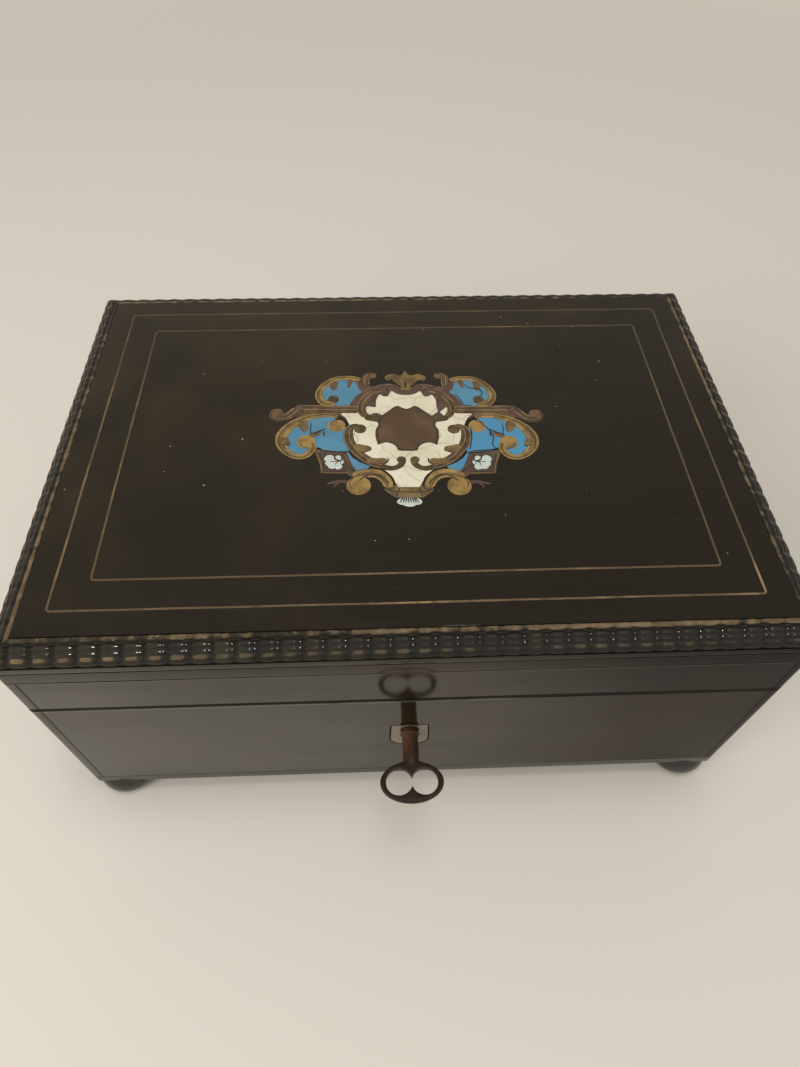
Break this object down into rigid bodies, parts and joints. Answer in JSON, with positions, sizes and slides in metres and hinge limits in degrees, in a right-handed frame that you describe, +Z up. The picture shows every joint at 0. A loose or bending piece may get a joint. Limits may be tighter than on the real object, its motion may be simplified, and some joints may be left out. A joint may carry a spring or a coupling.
{
  "type": "inlaid box",
  "caption": "Ebonised box on bun feet with a hinged lid, ripple mouldings, a marquetry cartouche of brass, ivory, blue horn and pearl, and a lock worked by its key.",
  "frame": {"origin": "on the surface the box stands on, under the middle of its bounding box, which takes in the key in front and the feet behind", "axes": "+X along the box to its right end seen from the front, +Y from the front to the hinges, +Z up"},
  "size_m": [0.3058, 0.2434, 0.14],
  "materials": {
    "ebonised_wood": "black stain under glossy shellac, worn to ochre on the mouldings",
    "inlaid_brass": "flat, dull, engraved",
    "brass": "satin",
    "old_brass": "dull brown",
    "iron": "rust brown",
    "ivory": "polished, fine cracks",
    "horn": "polished brown horn",
    "blue_horn": "polished, blue ground under clear horn",
    "pearl": "mother-of-pearl",
    "silk": "silk rep"
  },
  "bodies": {
    "base": {"bottom_board": "ebonised_wood", "front_wall": "ebonised_wood", "right_wall": "ebonised_wood", "back_wall": "ebonised_wood", "left_wall": "ebonised_wood", "front_right_foot": "ebonised_wood", "front_left_foot": "ebonised_wood", "back_right_foot": "ebonised_wood", "back_left_foot": "ebonised_wood", "bottom_lining": "silk", "wall_lining": "silk", "left_hinge_pin": "brass", "right_hinge_pin": "brass", "left_hinge_lower_leaf": "brass", "right_hinge_lower_leaf": "brass", "left_hinge_lower_outer_screw": "brass", "left_hinge_lower_inner_screw": "brass", "right_hinge_lower_outer_screw": "brass", "right_hinge_lower_inner_screw": "brass", "escutcheon": "old_brass", "lock_plate": "brass", "lock_case": "brass", "left_lock_screw": "brass", "right_lock_screw": "brass"},
    "lid": {"front_lid_rail": "ebonised_wood", "right_lid_rail": "ebonised_wood", "back_lid_rail": "ebonised_wood", "left_lid_rail": "ebonised_wood", "front_ripple_moulding": "ebonised_wood", "right_ripple_moulding": "ebonised_wood", "back_ripple_moulding": "ebonised_wood", "left_ripple_moulding": "ebonised_wood", "top_board": "ebonised_wood", "outer_brass_line": "inlaid_brass", "inner_brass_line": "inlaid_brass", "brass_fretwork": "inlaid_brass", "ivory_field": "ivory", "ivory_crest": "ivory", "medallion": "horn", "pearl_shell": "pearl", "upper_blue_field_right": "blue_horn", "upper_blue_field_left": "blue_horn", "lower_blue_field_right": "blue_horn", "lower_blue_field_left": "blue_horn", "pearl_flower_right": "pearl", "pearl_flower_left": "pearl", "lid_lining": "silk", "lid_pad": "silk", "left_hinge_upper_leaf": "brass", "right_hinge_upper_leaf": "brass", "left_hinge_upper_outer_screw": "brass", "left_hinge_upper_inner_screw": "brass", "right_hinge_upper_outer_screw": "brass", "right_hinge_upper_inner_screw": "brass", "link_plate": "brass", "left_link_screw": "brass", "right_link_screw": "brass"},
    "key": {"key": "iron"},
    "lock_bolt": {"lock_bolt": "brass"}
  },
  "joints": [
    {"name": "lid_hinge", "type": "hinge", "parent": "base", "child": "lid", "pos_m": [0, 0.11555, 0.0961], "axis": [-1, 0, 0], "range_deg": [0, 98]},
    {"name": "key_turn", "type": "hinge", "parent": "base", "child": "key", "pos_m": [0, -0.09085, 0.0661], "axis": [0, 1, 0], "range_deg": [0, 180]},
    {"name": "bolt_slide", "type": "slide", "parent": "base", "child": "lock_bolt", "axis": [1, 0, 0], "range_m": [0, 0.007]}
  ],
  "couplings": [
    {"joint": "bolt_slide", "follows": "key_turn", "m_per_rad": 0.002228}
  ]
}
